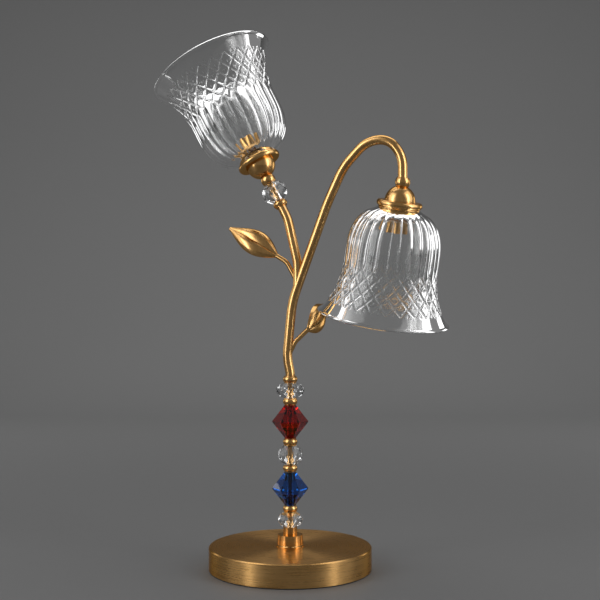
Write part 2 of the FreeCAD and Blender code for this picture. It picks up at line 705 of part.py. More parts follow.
def flute_share(along):
    """How deep the flutes are at this distance along the bell, from 0 to 1."""
    start = size["flute_start"].amount
    full = start + size["flute_fade"].amount
    reach = size["flute_reach"].amount
    fade = reach - size["flute_fade"].amount
    if along <= start or along >= reach:
        return 0.0
    if along < full:
        return math.sin((along - start) / (full - start) * math.pi / 2)
    if along > fade:
        return math.cos((along - fade) / (reach - fade) * math.pi / 2)
    return 1.0


def fluted_ring(out, along):
    """A closed ring of convex arcs, one for each flute."""
    count = int(size["flute_count"].amount)
    valley = out - size["flute_depth"].amount * flute_share(along)
    step = 2 * math.pi / count

    def spot(reach, angle):
        return Vector(reach * math.cos(angle), reach * math.sin(angle), along)

    arcs = []
    for number in range(count):
        angle = number * step
        arcs.append(Part.Arc(spot(valley, angle), spot(out, angle + step / 2),
                             spot(valley, angle + step)).toShape())
    return Part.Wire(arcs)


def curve_at(curve, along):
    """The point of the bell's curve at this distance along the axis, found by halving."""
    low, high = curve.FirstParameter, curve.LastParameter
    for _ in range(40):
        middle = (low + high) / 2
        if curve.value(middle).z < along:
            low = middle
        else:
            high = middle
    return curve.value((low + high) / 2)


def turned_face(edges):
    """The solid of a closed outline in the XZ plane, revolved about Z."""
    return Part.Face(Part.Wire(edges)).revolve(Vector(0, 0, 0), Vector(0, 0, 1), 360)


def line(start, end):
    """A straight edge."""
    return Part.LineSegment(start, end).toShape()


def cut_net(curve, start, end):
    """The band of crossed grooves between two levels: raised diamonds with bevelled sides, as a solid."""
    count = int(size["flute_count"].amount)
    rows = int(size["net_half_rows"].amount)
    depth = size["net_groove_depth"].amount
    share = size["net_diamond_share"].amount
    levels = [start + (end - start) * number / rows for number in range(rows + 1)]
    radii = [curve_at(curve, level).x for level in levels]

    def spot(turns, row, sunk):
        low = min(int(row), rows - 1)
        part = row - low
        reach = radii[low] * (1 - part) + radii[low + 1] * part - sunk
        angle = turns * 2 * math.pi / count
        return Vector(reach * math.cos(angle), reach * math.sin(angle), start + (end - start) * row / rows)

    def triangle(*corners):
        return Part.Face(Part.makePolygon(list(corners) + [corners[0]]))

    faces = []
    edges = {0: [], rows: []}
    for row in range(rows + 1):
        for number in range(count):
            middle = number + (0.5 if row % 2 == 0 else 0.0)
            ways = [(-0.5, 0), (0, 1), (0.5, 0), (0, -1)]
            deep = {way: spot(middle + way[0], row + way[1], depth)
                    for way in ways if 0 <= row + way[1] <= rows}
            high = {way: spot(middle + way[0] * share, row + way[1] * share, 0.0) for way in deep}
            centre = spot(middle, row, 0.0)
            for place, way in enumerate(ways):
                following = ways[(place + 1) % 4]
                if way not in deep or following not in deep:
                    continue
                faces.append(triangle(centre, high[way], high[following]))
                faces.append(triangle(high[way], deep[way], deep[following]))
                faces.append(triangle(high[way], deep[following], high[following]))
            if row in edges:
                edges[row] += [deep[(-0.5, 0)], high[(-0.5, 0)], centre, high[(0.5, 0)]]
    for outline in edges.values():
        faces.append(Part.Face(Part.makePolygon(outline + [outline[0]])))
    shell = Part.makeShell(faces)
    shell.sewShape()
    return Part.makeSolid(shell)


def glass_shade(side):
    """The bell: fluted rings lofted down to the cut net, a plain flare, a hollow, a lip and a bore."""
    curve = bell_curve()
    top = curve.StartPoint
    foot = curve.EndPoint
    net_top = foot.z * size["net_top_share"].amount
    net_foot = foot.z * size["net_foot_share"].amount
    rings = int(size["flute_rings"].amount)
    levels = [top.z, top.z + size["shade_neck_round"].amount]
    levels += [levels[1] + (net_top - levels[1]) * (number / (rings - 2)) ** 1.25
               for number in range(1, rings - 1)]
    spots = [top] + [curve_at(curve, level) for level in levels[1:]]
    fluted = Part.makeLoft([fluted_ring(spot.x, spot.z) for spot in spots], True, True)

    net = cut_net(curve, net_top, net_foot)
    band = curve.copy()
    band.segment(curve.parameter(curve_at(curve, net_foot)), curve.LastParameter)
    flare = turned_face([band.toShape(), line(band.EndPoint, Vector(0, 0, foot.z)),
                         line(Vector(0, 0, foot.z), Vector(0, 0, net_foot)),
                         line(Vector(0, 0, net_foot), band.StartPoint)])

    wall = size["shade_wall"].amount
    web_face = clamp_level.amount - size["running_gap"].amount
    inner = []
    for level in levels[2:] + [foot.z * share for share in (0.66, 0.78, 0.88, 0.95)] + [foot.z]:
        spot = curve_at(curve, level) if level < foot.z else foot
        along = curve.tangent(curve.parameter(spot))[0]
        inner_spot = spot + Vector(-along.z, 0, along.x) * wall
        if inner_spot.z > web_face + wall:
            inner.append(inner_spot)
    corner = Vector(radius("shade_neck_diameter").amount - wall * 0.8, 0, web_face)
    hollow_curve = Part.BSplineCurve()
    hollow_curve.interpolate([corner] + inner)
    below = Vector(inner[-1].x, 0, inner[-1].z + wall * 2)
    hollow = turned_face([line(Vector(0, 0, web_face), corner), hollow_curve.toShape(),
                          line(inner[-1], below), line(below, Vector(0, 0, below.z)),
                          line(Vector(0, 0, below.z), Vector(0, 0, web_face))])
    bore = Part.makeCylinder(radius("shade_hole_diameter").amount, web_face * 2)

    lip = size["shade_lip"].amount / 2
    rim = Part.makeTorus(foot.x, lip, Vector(0, 0, foot.z), Vector(0, 0, 1))
    shell = fluted.fuse([net, flare]).cut(hollow).cut(bore).fuse(rim).removeSplitter()
    shade = doc.addObject("Part::Feature", f"{side}_shade")
    shade.Shape = shell.Solids[0] if len(shell.Solids) == 1 else shell
    shade.Placement = on_axis(side)
    nodes[f"{side}_shade"] = shade


# ---------------------------------------------------------------------------------------------
# Leaves: cast, two swelling halves that meet in a crease, each on a bent stalk
# ---------------------------------------------------------------------------------------------
def leaf_section(along, half_width, puff, crease, drop):
    """A closed section of the leaf: two convex lobes above and two flatter ones below."""
    def spot(across, up):
        return Vector(along, across, up + drop)

    under = size["leaf_under_share"].amount
    edge_left, edge_right = spot(-half_width, 0), spot(half_width, 0)
    valley, keel = spot(0, puff - crease), spot(0, -under * puff)
    return Part.Wire([
        Part.Arc(edge_right, spot(half_width * 0.52, puff), valley).toShape(),
        Part.Arc(valley, spot(-half_width * 0.52, puff), edge_left).toShape(),
        Part.Arc(edge_left, spot(-half_width * 0.52, -under * puff * 0.9), keel).toShape(),
        Part.Arc(keel, spot(half_width * 0.52, -under * puff * 0.9), edge_right).toShape()])


def leaf_blade():
    """The blade along +X from its root, lofted through sections that open and close again."""
    length = size["leaf_length"].amount
    half_root = size["leaf_root_width"].amount / 2
    half_tip = size["leaf_tip_width"].amount / 2
    half_width = size["leaf_width"].amount / 2
    sections = []
    for share in (0.0, 0.07, 0.2, 0.36, 0.54, 0.72, 0.86, 0.94, 1.0):
        swell = math.sin(math.pi * share ** 0.84) ** 1.15 if 0 < share < 1 else 0.0
        plain = half_root + (half_tip - half_root) * share
        half = plain + (half_width - (half_root + half_tip) / 2) * swell
        puff = size["leaf_puff"].amount * (0.42 + 0.58 * swell)
        crease = size["leaf_crease"].amount * swell + 0.12
        drop = size["leaf_arch"].amount * math.sin(math.pi * share)
        sections.append(leaf_section(length * share, half, puff, crease, drop))
    return Part.makeLoft(sections, True, False)


def stalk(corners, bends):
    """A round bar along a bent path."""
    edges = [piece.toShape() for piece in rounded_path(corners, bends, Part.Arc)]
    path = Part.Wire(edges)
    start_way = (corners[1] - corners[0]).normalize()
    bar = size["leaf_stalk_diameter"].amount / 2
    ring = Part.Wire([Part.makeCircle(bar, corners[0], start_way)])
    return path.makePipeShell([ring], True, False)


def leaf_place(side, name):
    """A named place on a leaf's line: out along X, back along Y and up from the stem's foot."""
    back = size[f"{side}_{name}_back"].amount if f"{side}_{name}_back" in size else 0.0
    return Vector(size[f"{side}_{name}_out"].amount, back, stem_foot + size[f"{side}_{name}_up"].amount)


def leaf(side, face):
    """A leaf whose blade runs from the end of its stalk to its tip, with its upper side towards face."""
    corners = [leaf_place(side, name) for name in ("start", "knee", "root")]
    root = corners[-1]
    along = (leaf_place(side, "tip") - root).normalize()
    across = face.cross(along).normalize()
    turn = Rotation(along, across, along.cross(across), "XYZ")
    blade = leaf_blade()
    blade.Placement = Placement(root - along * size["leaf_stalk_overlap"].amount, turn)
    bar = stalk(corners, [size["stalk_bend"].amount])
    cast = blade.fuse(bar).cut(stem_envelope.Shape).cut(arm_blank.Shape).cut(arm_core.Shape)
    solids = sorted(cast.Solids, key=lambda solid: solid.Volume)
    piece = doc.addObject("Part::Feature", f"{side}_leaf")
    piece.Shape = solids[-1]
    nodes[f"{side}_leaf"] = piece


LEAF_FACES = {"left": Vector(0.25, -0.9, 0.35), "right": Vector(0.9, 0.25, 0.3)}

doc.recompute()
for side in ("left", "right"):
    glass_shade(side)
    leaf(side, LEAF_FACES[side])


# ---------------------------------------------------------------------------------------------
# Check every piece and write it out
# ---------------------------------------------------------------------------------------------
doc.recompute()
for item in doc.Objects:
    if "Invalid" in item.State or "Error" in item.State:
        raise RuntimeError(f"{item.Name} failed: {item.State}")

for label, piece in nodes.items():
    piece.Label = label
    shape = piece.Shape
    if shape.isNull() or not shape.isValid() or len(shape.Solids) != 1:
        raise RuntimeError(f"{label} isn't one valid solid")
    shape.exportStep(os.path.join("parts", f"{label}.step"))
    print(f"{label}: {shape.Volume:.0f} cubic mm")
print(f"{len(nodes)} pieces written")
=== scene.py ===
# %% [markdown]
# A tulip shade table lamp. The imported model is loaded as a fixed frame: every brass part, bead and holder
# is already there in metres, at its real place. This script adds the fine cutting of the glass and the
# finish of each surface, and then the studio around the lamp.

# %% Load the frame
import json
import math

import bpy
import numpy as np
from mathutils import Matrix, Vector


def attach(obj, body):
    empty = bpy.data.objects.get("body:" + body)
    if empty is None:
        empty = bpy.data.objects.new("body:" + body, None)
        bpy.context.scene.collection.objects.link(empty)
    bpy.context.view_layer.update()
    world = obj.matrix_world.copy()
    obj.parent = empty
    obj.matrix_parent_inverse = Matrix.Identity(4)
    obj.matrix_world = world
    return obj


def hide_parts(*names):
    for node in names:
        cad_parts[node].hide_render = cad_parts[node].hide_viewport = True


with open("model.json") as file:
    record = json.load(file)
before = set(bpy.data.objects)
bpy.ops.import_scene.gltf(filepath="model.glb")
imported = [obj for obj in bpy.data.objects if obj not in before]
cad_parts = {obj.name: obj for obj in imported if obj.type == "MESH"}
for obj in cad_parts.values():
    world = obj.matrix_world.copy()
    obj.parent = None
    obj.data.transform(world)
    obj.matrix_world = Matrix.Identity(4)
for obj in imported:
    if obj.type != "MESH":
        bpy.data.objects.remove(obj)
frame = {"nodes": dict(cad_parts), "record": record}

MM = 0.001
UP = Vector((0, 0, 1))
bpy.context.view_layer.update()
nodes = frame["nodes"]
joints = {joint["name"]: joint for joint in frame["record"]["behaviour"]["joints"]}

# %% [markdown]
# Each shade turns about the axis of its holder, and the frame states that axis. The point it gives lies
# 50 mm beyond the gallery's face, so stepping back along the axis finds the face, from which every length of
# the glass is counted.

# %% Find the two holders
JOINT_POINT_ALONG = 50 * MM
holders = {}
for side in ("left", "right"):
    joint = joints[f"{side}_shade_turn"]
    way = Vector(joint["axis"]).normalized()
    holders[side] = (Vector(joint["pos_m"]) - way * JOINT_POINT_ALONG, way)
    print(side, "gallery face at", [round(number, 4) for number in holders[side][0]])


# %% [markdown]
# Shader graphs are wordy in code, so four small helpers keep the rest readable. One places a node and fills
# its inputs, one links or sets a single input, one does a step of arithmetic, and one starts a node group
# with named sockets. An input may be given a plain number or another node's output.

# %% Helpers for shader graphs
def place(tree, kind, settings=None, **inputs):
    """Add a node; underscores in an input's name stand for spaces."""
    node = tree.nodes.new(kind)
    for key, value in (settings or {}).items():
        setattr(node, key, value)
    for key, value in inputs.items():
        fill(tree, node.inputs[key.replace("_", " ")], value)
    return node


def fill(tree, socket, value):
    """Link an output to this socket, or set its number."""
    if isinstance(value, bpy.types.NodeSocket):
        tree.links.new(value, socket)
    else:
        socket.default_value = value


def reckon(tree, operation, *terms):
    """One step of arithmetic on values."""
    node = tree.nodes.new("ShaderNodeMath")
    node.operation = operation
    for socket, term in zip(node.inputs, terms):
        fill(tree, socket, term)
    return node.outputs[0]


def start_group(name, inputs, outputs):
    """A node group with named sockets; returns the group, its entry and its exit."""
    group = bpy.data.node_groups.new(name, "ShaderNodeTree")
    for label, kind, value in inputs:
        socket = group.interface.new_socket(label, in_out="INPUT", socket_type=kind)
        if value is not None:
            socket.default_value = value
    for label, kind in outputs:
        group.interface.new_socket(label, in_out="OUTPUT", socket_type=kind)
    return group, group.nodes.new("NodeGroupInput"), group.nodes.new("NodeGroupOutput")


print("helpers ready")

# %% [markdown]
# Satin brass is made by rubbing the metal one way with a fine abrasive, which leaves hair lines. A noise
# stretched hard in one direction gives them. The same group serves the stems and small parts, where the
# lines run upward, and the base, where they run round it, because the caller hands in the coordinates and
# the stretch. A noise swings about its middle value, which is taken off before the contrast is raised.

# %% A node group for brush lines
FLOAT, VECTOR = "NodeSocketFloat", "NodeSocketVector"
NOISE_MIDDLE = 0.5
brush_group, entry, leave = start_group(
    "Brush Lines",
    [("Where", VECTOR, None), ("Stretch", VECTOR, (1.0, 1.0, 1.0)), ("Contrast", FLOAT, 1.0)],
    [("Lines", FLOAT), ("Height", FLOAT)])
stretched = place(brush_group, "ShaderNodeVectorMath", {"operation": "MULTIPLY"})
brush_group.links.new(entry.outputs["Where"], stretched.inputs[0])
brush_group.links.new(entry.outputs["Stretch"], stretched.inputs[1])
hairs = place(brush_group, "ShaderNodeTexNoise", Vector=stretched.outputs[0], Scale=1.0, Detail=5.0,
              Roughness=0.65)
centred = reckon(brush_group, "SUBTRACT", hairs.outputs["Fac"], NOISE_MIDDLE)
widened = reckon(brush_group, "MULTIPLY", centred, entry.outputs["Contrast"])
fill(brush_group, leave.inputs["Lines"], reckon(brush_group, "ADD", widened, NOISE_MIDDLE))
fill(brush_group, leave.inputs["Height"], widened)
print("group:", brush_group.name)

# %% [markdown]
# Nothing that is handled stays even. A soft, large noise stands for the faint cloudiness that fingers and
# polishing leave, and drives both tone and roughness. Its strength is an input, so that brass can show far
# more of it than the paper of the backdrop does.

# %% A node group for handling marks
haze_group, entry, leave = start_group(
    "Handling Haze",
    [("Where", VECTOR, None), ("Size", FLOAT, 40.0), ("Strength", FLOAT, 0.5)],
    [("Haze", FLOAT)])
clouds = place(haze_group, "ShaderNodeTexNoise", Vector=entry.outputs["Where"],
               Scale=entry.outputs["Size"], Detail=3.0, Roughness=0.55)
offset = reckon(haze_group, "SUBTRACT", clouds.outputs["Fac"], NOISE_MIDDLE)
fill(haze_group, leave.inputs["Haze"],
     reckon(haze_group, "MULTIPLY", offset, entry.outputs["Strength"]))
print("group:", haze_group.name)

# %% [markdown]
# The base was brushed while it span, so its lines are circles. Turning the plain coordinates into distance
# from the axis and angle round it lets the same stretched noise draw rings.

# %% A node group for turning round the axis
round_group, entry, leave = start_group(
    "Round The Axis", [("Where", VECTOR, None)], [("Polar", VECTOR)])
parts = place(round_group, "ShaderNodeSeparateXYZ", Vector=entry.outputs["Where"])
across_x, across_y = parts.outputs["X"], parts.outputs["Y"]
reach = reckon(round_group, "SQRT", reckon(
    round_group, "ADD", reckon(round_group, "MULTIPLY", across_x, across_x),
    reckon(round_group, "MULTIPLY", across_y, across_y)))
angle = reckon(round_group, "ARCTAN2", across_y, across_x)
polar = place(round_group, "ShaderNodeCombineXYZ", X=reach, Y=angle, Z=parts.outputs["Z"])
fill(round_group, leave.inputs["Polar"], polar.outputs[0])
print("group:", round_group.name)


# %% [markdown]
# A material starts the same way each time: a Principled shader and the object's own coordinates, in metres.
# Three more helpers place a shared group, blend two colours by a share, and let a height tilt the surface.
# A mix node keeps sockets for every kind of data, so the numbers of those that it uses for colours are named.

# %% Helpers for materials
MIX_SHARE, MIX_LOW, MIX_HIGH, MIX_RESULT = 0, 6, 7, 2


def start_material(name, **uniform):
    """A new material; uniform numbers go straight onto the shader's own sockets."""
    material = bpy.data.materials.new(name)
    material.use_nodes = True
    tree = material.node_tree
    shader = tree.nodes["Principled BSDF"]
    for key, value in uniform.items():
        shader.inputs[key.replace("_", " ")].default_value = value
    where = tree.nodes.new("ShaderNodeTexCoord").outputs["Object"]
    return material, tree, shader, where


def use_group(tree, group, **inputs):
    """Place one of the shared groups."""
    node = tree.nodes.new("ShaderNodeGroup")
    node.node_tree = group
    for key, value in inputs.items():
        fill(tree, node.inputs[key], value)
    return node


def blend_colours(tree, share, low, high):
    """A colour between two others."""
    node = place(tree, "ShaderNodeMix", {"data_type": "RGBA"})
    fill(tree, node.inputs[MIX_SHARE], share)
    node.inputs[MIX_LOW].default_value = (*low, 1)
    node.inputs[MIX_HIGH].default_value = (*high, 1)
    return node.outputs[MIX_RESULT]


def add_bump(tree, shader, height, strength, distance):
    """Let a height tilt the surface; the distance is in metres."""
    bump = place(tree, "ShaderNodeBump", Height=height, Strength=strength, Distance=distance)
    tree.links.new(bump.outputs["Normal"], shader.inputs["Normal"])


print("material helpers ready")

# %% [markdown]
# Brass is a metal, so its colour is the colour of its reflections. Two brushed finishes share the recipe: the
# lines of the stems and small parts run upward, and those of the base run round its axis. Fine lines spread
# a highlight across themselves, so the base's anisotropy is turned a quarter from its round tangent: that
# draws the bright and dark fans on its top and the upright bands on its wall. A thin clear lacquer lies over
# the metal: its white glints sit on top of a deeper colour, and the edge tint keeps that colour where the
# metal is seen at a slant.

# %% Brass finishes
BRASS_DEEP, BRASS_BRIGHT = (0.52, 0.265, 0.065), (0.82, 0.50, 0.20)
EDGE_TINT = (0.78, 0.50, 0.20, 1)
LACQUER, LACQUER_ROUGH = 0.4, 0.16
LINE_CONTRAST, LINE_RELIEF = 1.3, 0.0004
HAZE_ROUGH = 0.12


def brass(name, stretch, polar, rough, line_share, bump, **uniform):
    """A brushed brass whose lines follow the stretch."""
    material, tree, shader, where = start_material(
        name, Metallic=1.0, Specular_Tint=EDGE_TINT, Coat_Weight=LACQUER, Coat_Roughness=LACQUER_ROUGH,
        **uniform)
    track = use_group(tree, round_group, Where=where).outputs["Polar"] if polar else where
    lines = use_group(tree, brush_group, Where=track, Stretch=stretch, Contrast=LINE_CONTRAST)
    haze = use_group(tree, haze_group, Where=where, Size=38.0, Strength=0.6).outputs["Haze"]
    tone = reckon(tree, "ADD", lines.outputs["Lines"], haze)
    tree.links.new(blend_colours(tree, tone, BRASS_DEEP, BRASS_BRIGHT), shader.inputs["Base Color"])
    worn = reckon(tree, "MULTIPLY_ADD", lines.outputs["Lines"], line_share, rough)
    tree.links.new(reckon(tree, "MULTIPLY_ADD", haze, HAZE_ROUGH, worn), shader.inputs["Roughness"])
    add_bump(tree, shader, lines.outputs["Height"], bump, LINE_RELIEF)
    return material


satin_brass = brass("satin_brass", stretch=(700.0, 700.0, 50.0), polar=False, rough=0.18,
                    line_share=0.10, bump=0.02)
base_brass = brass("base_brass", stretch=(2600.0, 1.6, 900.0), polar=True, rough=0.22,
                   line_share=0.12, bump=0.04, Anisotropic=0.85, Anisotropic_Rotation=0.25)
tangent = place(base_brass.node_tree, "ShaderNodeTangent", {"direction_type": "RADIAL", "axis": "Z"})
base_brass.node_tree.links.new(tangent.outputs[0],
                               base_brass.node_tree.nodes["Principled BSDF"].inputs["Tangent"])
print("brass:", satin_brass.name, base_brass.name)


# %% [markdown]
# Glass is a shape more than a colour. Pressed glass is never quite flat, so a very small wave in the normal
# breaks up what is seen through it. Where a wheel has cut it the surface stays dull, so a value stored on the
# mesh, called Frost, roughens the cuts: they scatter light and read as white lines. The thin shades get a
# lower index than the crystal, so that the view through their flutes bends less. The two coloured beads are
# dyed through: their colour sits in the shader's base colour, which tints the light each time it enters or
# leaves.

# %% Glass finishes
FROST_ROUGH, CLOUD_ROUGH = 0.40, 0.02
WAVE_RELIEF = 0.0006
UNTINTED = (1.0, 1.0, 1.0)
SHADE_IOR, CRYSTAL_IOR = 1.43, 1.54
SHADE_WAVE, CRYSTAL_WAVE = 0.10, 0.02


def glass(name, low, high, wave, ior, rough=0.005):
    """A clear or dyed glass with a faint wave in its surface."""
    material, tree, shader, where = start_material(
        name, Metallic=0.0, Transmission_Weight=1.0, IOR=ior)
    haze = use_group(tree, haze_group, Where=where, Size=55.0, Strength=1.0).outputs["Haze"]
    share = reckon(tree, "ADD", haze, NOISE_MIDDLE)
    tree.links.new(blend_colours(tree, share, low, high), shader.inputs["Base Color"])
    smooth = reckon(tree, "MULTIPLY_ADD", share, CLOUD_ROUGH, rough)
    frost = place(tree, "ShaderNodeAttribute", {"attribute_name": "Frost"}).outputs["Fac"]
    tree.links.new(reckon(tree, "MULTIPLY_ADD", frost, FROST_ROUGH, smooth), shader.inputs["Roughness"])
    add_bump(tree, shader, haze, wave, WAVE_RELIEF)
    return material


shade_glass = glass("shade_glass", (0.96, 0.97, 0.97), UNTINTED, SHADE_WAVE, SHADE_IOR, rough=0.05)
clear_crystal = glass("clear_crystal", (0.96, 0.97, 0.98), UNTINTED, CRYSTAL_WAVE, CRYSTAL_IOR)
red_crystal = glass("red_crystal", (0.42, 0.003, 0.001), (0.60, 0.006, 0.002), CRYSTAL_WAVE, CRYSTAL_IOR)
blue_crystal = glass("blue_crystal", (0.003, 0.08, 0.42), (0.006, 0.14, 0.62), CRYSTAL_WAVE, CRYSTAL_IOR)
print("glass:", shade_glass.name, clear_crystal.name, red_crystal.name, blue_crystal.name)


# %% [markdown]
# What is left shows little, from below, from behind or through the glass: plated steel, a foam pad, a moulded
# bush, glazed porcelain and silicone. Each is a dielectric or a metal with a haze of its own.

# %% Plain finishes
GRAIN_TILT, GRAIN_RELIEF = 0.15, 0.0003


def plain(name, low, high, rough, spread, grain, **uniform):
    """An even material with a haze and a fine grain."""
    material, tree, shader, where = start_material(name, **uniform)
    haze = use_group(tree, haze_group, Where=where, Size=60.0, Strength=1.0).outputs["Haze"]
    share = reckon(tree, "ADD", haze, NOISE_MIDDLE)
    tree.links.new(blend_colours(tree, share, low, high), shader.inputs["Base Color"])
    tree.links.new(reckon(tree, "MULTIPLY_ADD", share, spread, rough), shader.inputs["Roughness"])
    fine = place(tree, "ShaderNodeTexNoise", Vector=where, Scale=grain, Detail=2.0)
    add_bump(tree, shader, fine.outputs["Fac"], GRAIN_TILT, GRAIN_RELIEF)
    return material


finishes = {
    "satin_brass": satin_brass, "base_brass": base_brass, "shade_glass": shade_glass,
    "clear_crystal": clear_crystal, "red_crystal": red_crystal, "blue_crystal": blue_crystal,
    "plated_steel": plain("plated_steel", (0.42, 0.42, 0.43), (0.60, 0.60, 0.61),
                          rough=0.25, spread=0.2, grain=900.0, Metallic=1.0),
    "foam_pad": plain("foam_pad", (0.012, 0.012, 0.012), (0.03, 0.03, 0.03),
                      rough=0.80, spread=0.15, grain=1800.0),
    "bush_plastic": plain("bush_plastic", (0.70, 0.62, 0.46), (0.80, 0.73, 0.57),
                          rough=0.30, spread=0.15, grain=600.0),
    "ceramic": plain("ceramic", (0.78, 0.76, 0.72), (0.88, 0.87, 0.84),
                     rough=0.12, spread=0.1, grain=300.0, Coat_Weight=0.6),
    "silicone": plain("silicone", (0.55, 0.55, 0.53), (0.68, 0.68, 0.66),
                      rough=0.45, spread=0.15, grain=500.0),
}
slots = {part["node"]: part["material_slot"] for part in frame["record"]["subparts"]}
for name, part in nodes.items():
    part.material_slots[0].material = finishes[slots[name]]
print(f"{len(finishes)} finishes on {len(nodes)} parts")

# %% [markdown]
# The shades are pressed in a mould and then cut. The bell's outline is a smooth curve through a few points
# read along the glass: (distance from the axis, distance from the gallery), in millimetres. The first names
# are the bell's radii from the neck to the rim, the lip's own radius and the whole length. Then come the top
# and underside of the web that closes the neck, the radius of its hole, and the thickness of the wall. A
# cubic curve with even bending, solved once for all the points, leaves no flats between them.

# %% The outline of the bell
NECK, SHOULDER, WAIST, RIM, LIP, LENGTH = 19.6, 37.3, 44.6, 61.8, 2.2, 111.5
TOP, WEB, HOLE, WALL = 1.3, 4.3, 11.0, 3.2
NECK_EDGE = 1.6
FOOT = LENGTH - LIP
FLARE = RIM - WAIST
BELL = [
    (NECK - NECK_EDGE, TOP), (NECK, TOP + NECK_EDGE), (NECK + (SHOULDER - NECK) * 0.56, 8.5),
    (SHOULDER, 16.0), (SHOULDER + (WAIST - SHOULDER) * 0.63, 25.0), (WAIST - 0.7, 31.7),
    (WAIST + FLARE * 0.05, FOOT * 0.545), (WAIST + FLARE * 0.20, FOOT * 0.73),
    (WAIST + FLARE * 0.44, FOOT * 0.845), (WAIST + FLARE * 0.73, FOOT * 0.935), (RIM, FOOT)]
OUTLINE_POINTS = 150


def smooth_curve(points, count):
    """Points spread along a smooth curve through the given ones."""
    spots = np.array(points, float)
    gaps = np.hypot(*np.diff(spots, axis=0).T)
    knots = np.concatenate([[0], np.cumsum(gaps)])
    size = len(spots)
    system = np.eye(size)
    pull = np.zeros((size, 2))
    for row in range(1, size - 1):
        system[row, row - 1:row + 2] = gaps[row - 1], 2 * (gaps[row - 1] + gaps[row]), gaps[row]
        pull[row] = 6 * ((spots[row + 1] - spots[row]) / gaps[row]
                         - (spots[row] - spots[row - 1]) / gaps[row - 1])
    bending = np.linalg.solve(system, pull)
    places = np.linspace(0, knots[-1], count)
    cell = np.clip(np.searchsorted(knots, places) - 1, 0, size - 2)
    span = gaps[cell][:, None]
    after = (knots[cell + 1] - places)[:, None] / span
    before = 1 - after
    return (after * spots[cell] + before * spots[cell + 1]
            + ((after ** 3 - after) * bending[cell] + (before ** 3 - before) * bending[cell + 1])
            * span ** 2 / 6)


outer_line = smooth_curve(BELL, OUTLINE_POINTS)
print(f"bell outline of {len(outer_line)} points, widest {outer_line[:, 0].max() * 2:.1f} mm")

# %% [markdown]
# The relief has two parts. Convex flutes run down from the neck, with sharp valleys between them. Where the
# valleys end, a wheel has cut diagonal grooves that cross in a net of diamonds, with a small cross in each.
# The first diagonals start from the valleys, so each flute ends in a pointed arch. Below comes a clear band.
# Inside, a shallow rib stands behind each flute. Places round the glass are counted in flutes, called turns
# here. A groove's distance is counted along the diagonal of a diamond, and a factor then narrows the groove.

# %% The flutes and the cut net
FLUTES = 24
FLUTE_DEPTH, FLUTE_START, FLUTE_RISE = 1.7, 5.0, 14.0
NET_TOP, NET_PITCH, NET_ROWS = 61.5, 14.8, 2.5
FLUTE_END, FLUTE_FADE = NET_TOP + NET_PITCH * 0.5, NET_PITCH * 0.9
GROOVE_DEPTH, GROOVE_WIDTH, GROOVE_NARROW = 1.25, 2.3, 1.4
DIAGONAL = 1 / math.hypot(1, 1)
MARK_DEPTH, MARK_WIDTH, MARK_LENGTH = 0.7, 1.1, 4.2
RIB_DEPTH, RIB_START, RIB_END, RIB_FADE = 0.6, 12.0, 66.0, 10.0


def off_whole(values):
    """How far each value lies from the nearest whole number."""
    return np.abs(values - np.round(values))


def net_cuts(turns, along, out):
    """How deep the wheel went, from 0 to 1: in the grooves of the net, and in the small crosses."""
    row = (along - NET_TOP) / NET_PITCH
    inside = (row >= 0) & (row <= NET_ROWS)
    pitch = 2 * math.pi * out / FLUTES
    groove = np.zeros_like(turns)
    cross = np.zeros_like(turns)
    for diagonal in (turns + row, turns - row):
        apart = off_whole(diagonal) * np.minimum(pitch, NET_PITCH) * DIAGONAL * GROOVE_NARROW
        groove = np.maximum(groove, inside * np.clip(1 - apart / (GROOVE_WIDTH / 2), 0, 1))
    side_gap = off_whole(turns + np.floor(row * 2) * 0.5) * pitch
    up_gap = off_whole((row + 0.5) * 2) * NET_PITCH / 2
    for thin, long in ((side_gap, up_gap), (up_gap, side_gap)):
        mark = np.clip(1 - thin / (MARK_WIDTH / 2), 0, 1) * (long < MARK_LENGTH / 2)
        cross = np.maximum(cross, inside * mark)
    return groove, cross


def relief(turns, along, out):
    """How far the surface lies below the bell's crest."""
    across = np.abs((turns % 1.0) - 0.5) * 2
    rise = np.clip((along - FLUTE_START) / FLUTE_RISE, 0, 1)
    fall = np.clip((FLUTE_END - along) / FLUTE_FADE, 0, 1)
    flutes = FLUTE_DEPTH * np.sin(rise * math.pi / 2) * fall * across ** 2
    groove, cross = net_cuts(turns, along, out)
    return np.maximum(flutes, np.maximum(GROOVE_DEPTH * groove, MARK_DEPTH * cross))


def ribs(turns, along):
    """How far the inside is hollowed between its ribs."""
    span = np.clip((along - RIB_START) / RIB_FADE, 0, 1) * np.clip((RIB_END - along) / RIB_FADE, 0, 1)
    return RIB_DEPTH * span * (0.5 + 0.5 * np.cos(2 * math.pi * turns))


print(f"{FLUTES} flutes, net from {NET_TOP} to {NET_TOP + NET_PITCH * NET_ROWS} mm")


# %% [markdown]
# The glass and the backdrop are meshes made from plain lists of corners and faces, so one helper turns such
# lists into an object with its finish.

# %% A helper that adds a mesh
def add_piece(name, corners, faces, finish, smooth=False):
    """A new object with one finish, smooth or flat shaded."""
    mesh = bpy.data.meshes.new(name)
    mesh.from_pydata(corners, [], faces)
    mesh.update()
    mesh.polygons.foreach_set("use_smooth", [smooth] * len(mesh.polygons))
    mesh.materials.append(finish)
    piece = bpy.data.objects.new(name, mesh)
    bpy.context.collection.objects.link(piece)
    return piece


print("mesh helper ready")

# %% [markdown]
# The whole wall is one closed loop turned about the axis: over the web, down the outside, round the thick
# lip, back up the ribbed inside and through the hole. Only points of the outside take the relief. They lie
# three times as close together as those of the inside, because a groove needs a few rows across it to look
# cut. The lip's arc is divided over a little more than a half turn and loses its two end points, so that it
# meets the walls without a crowded row. A small corner joins the inside to the web.

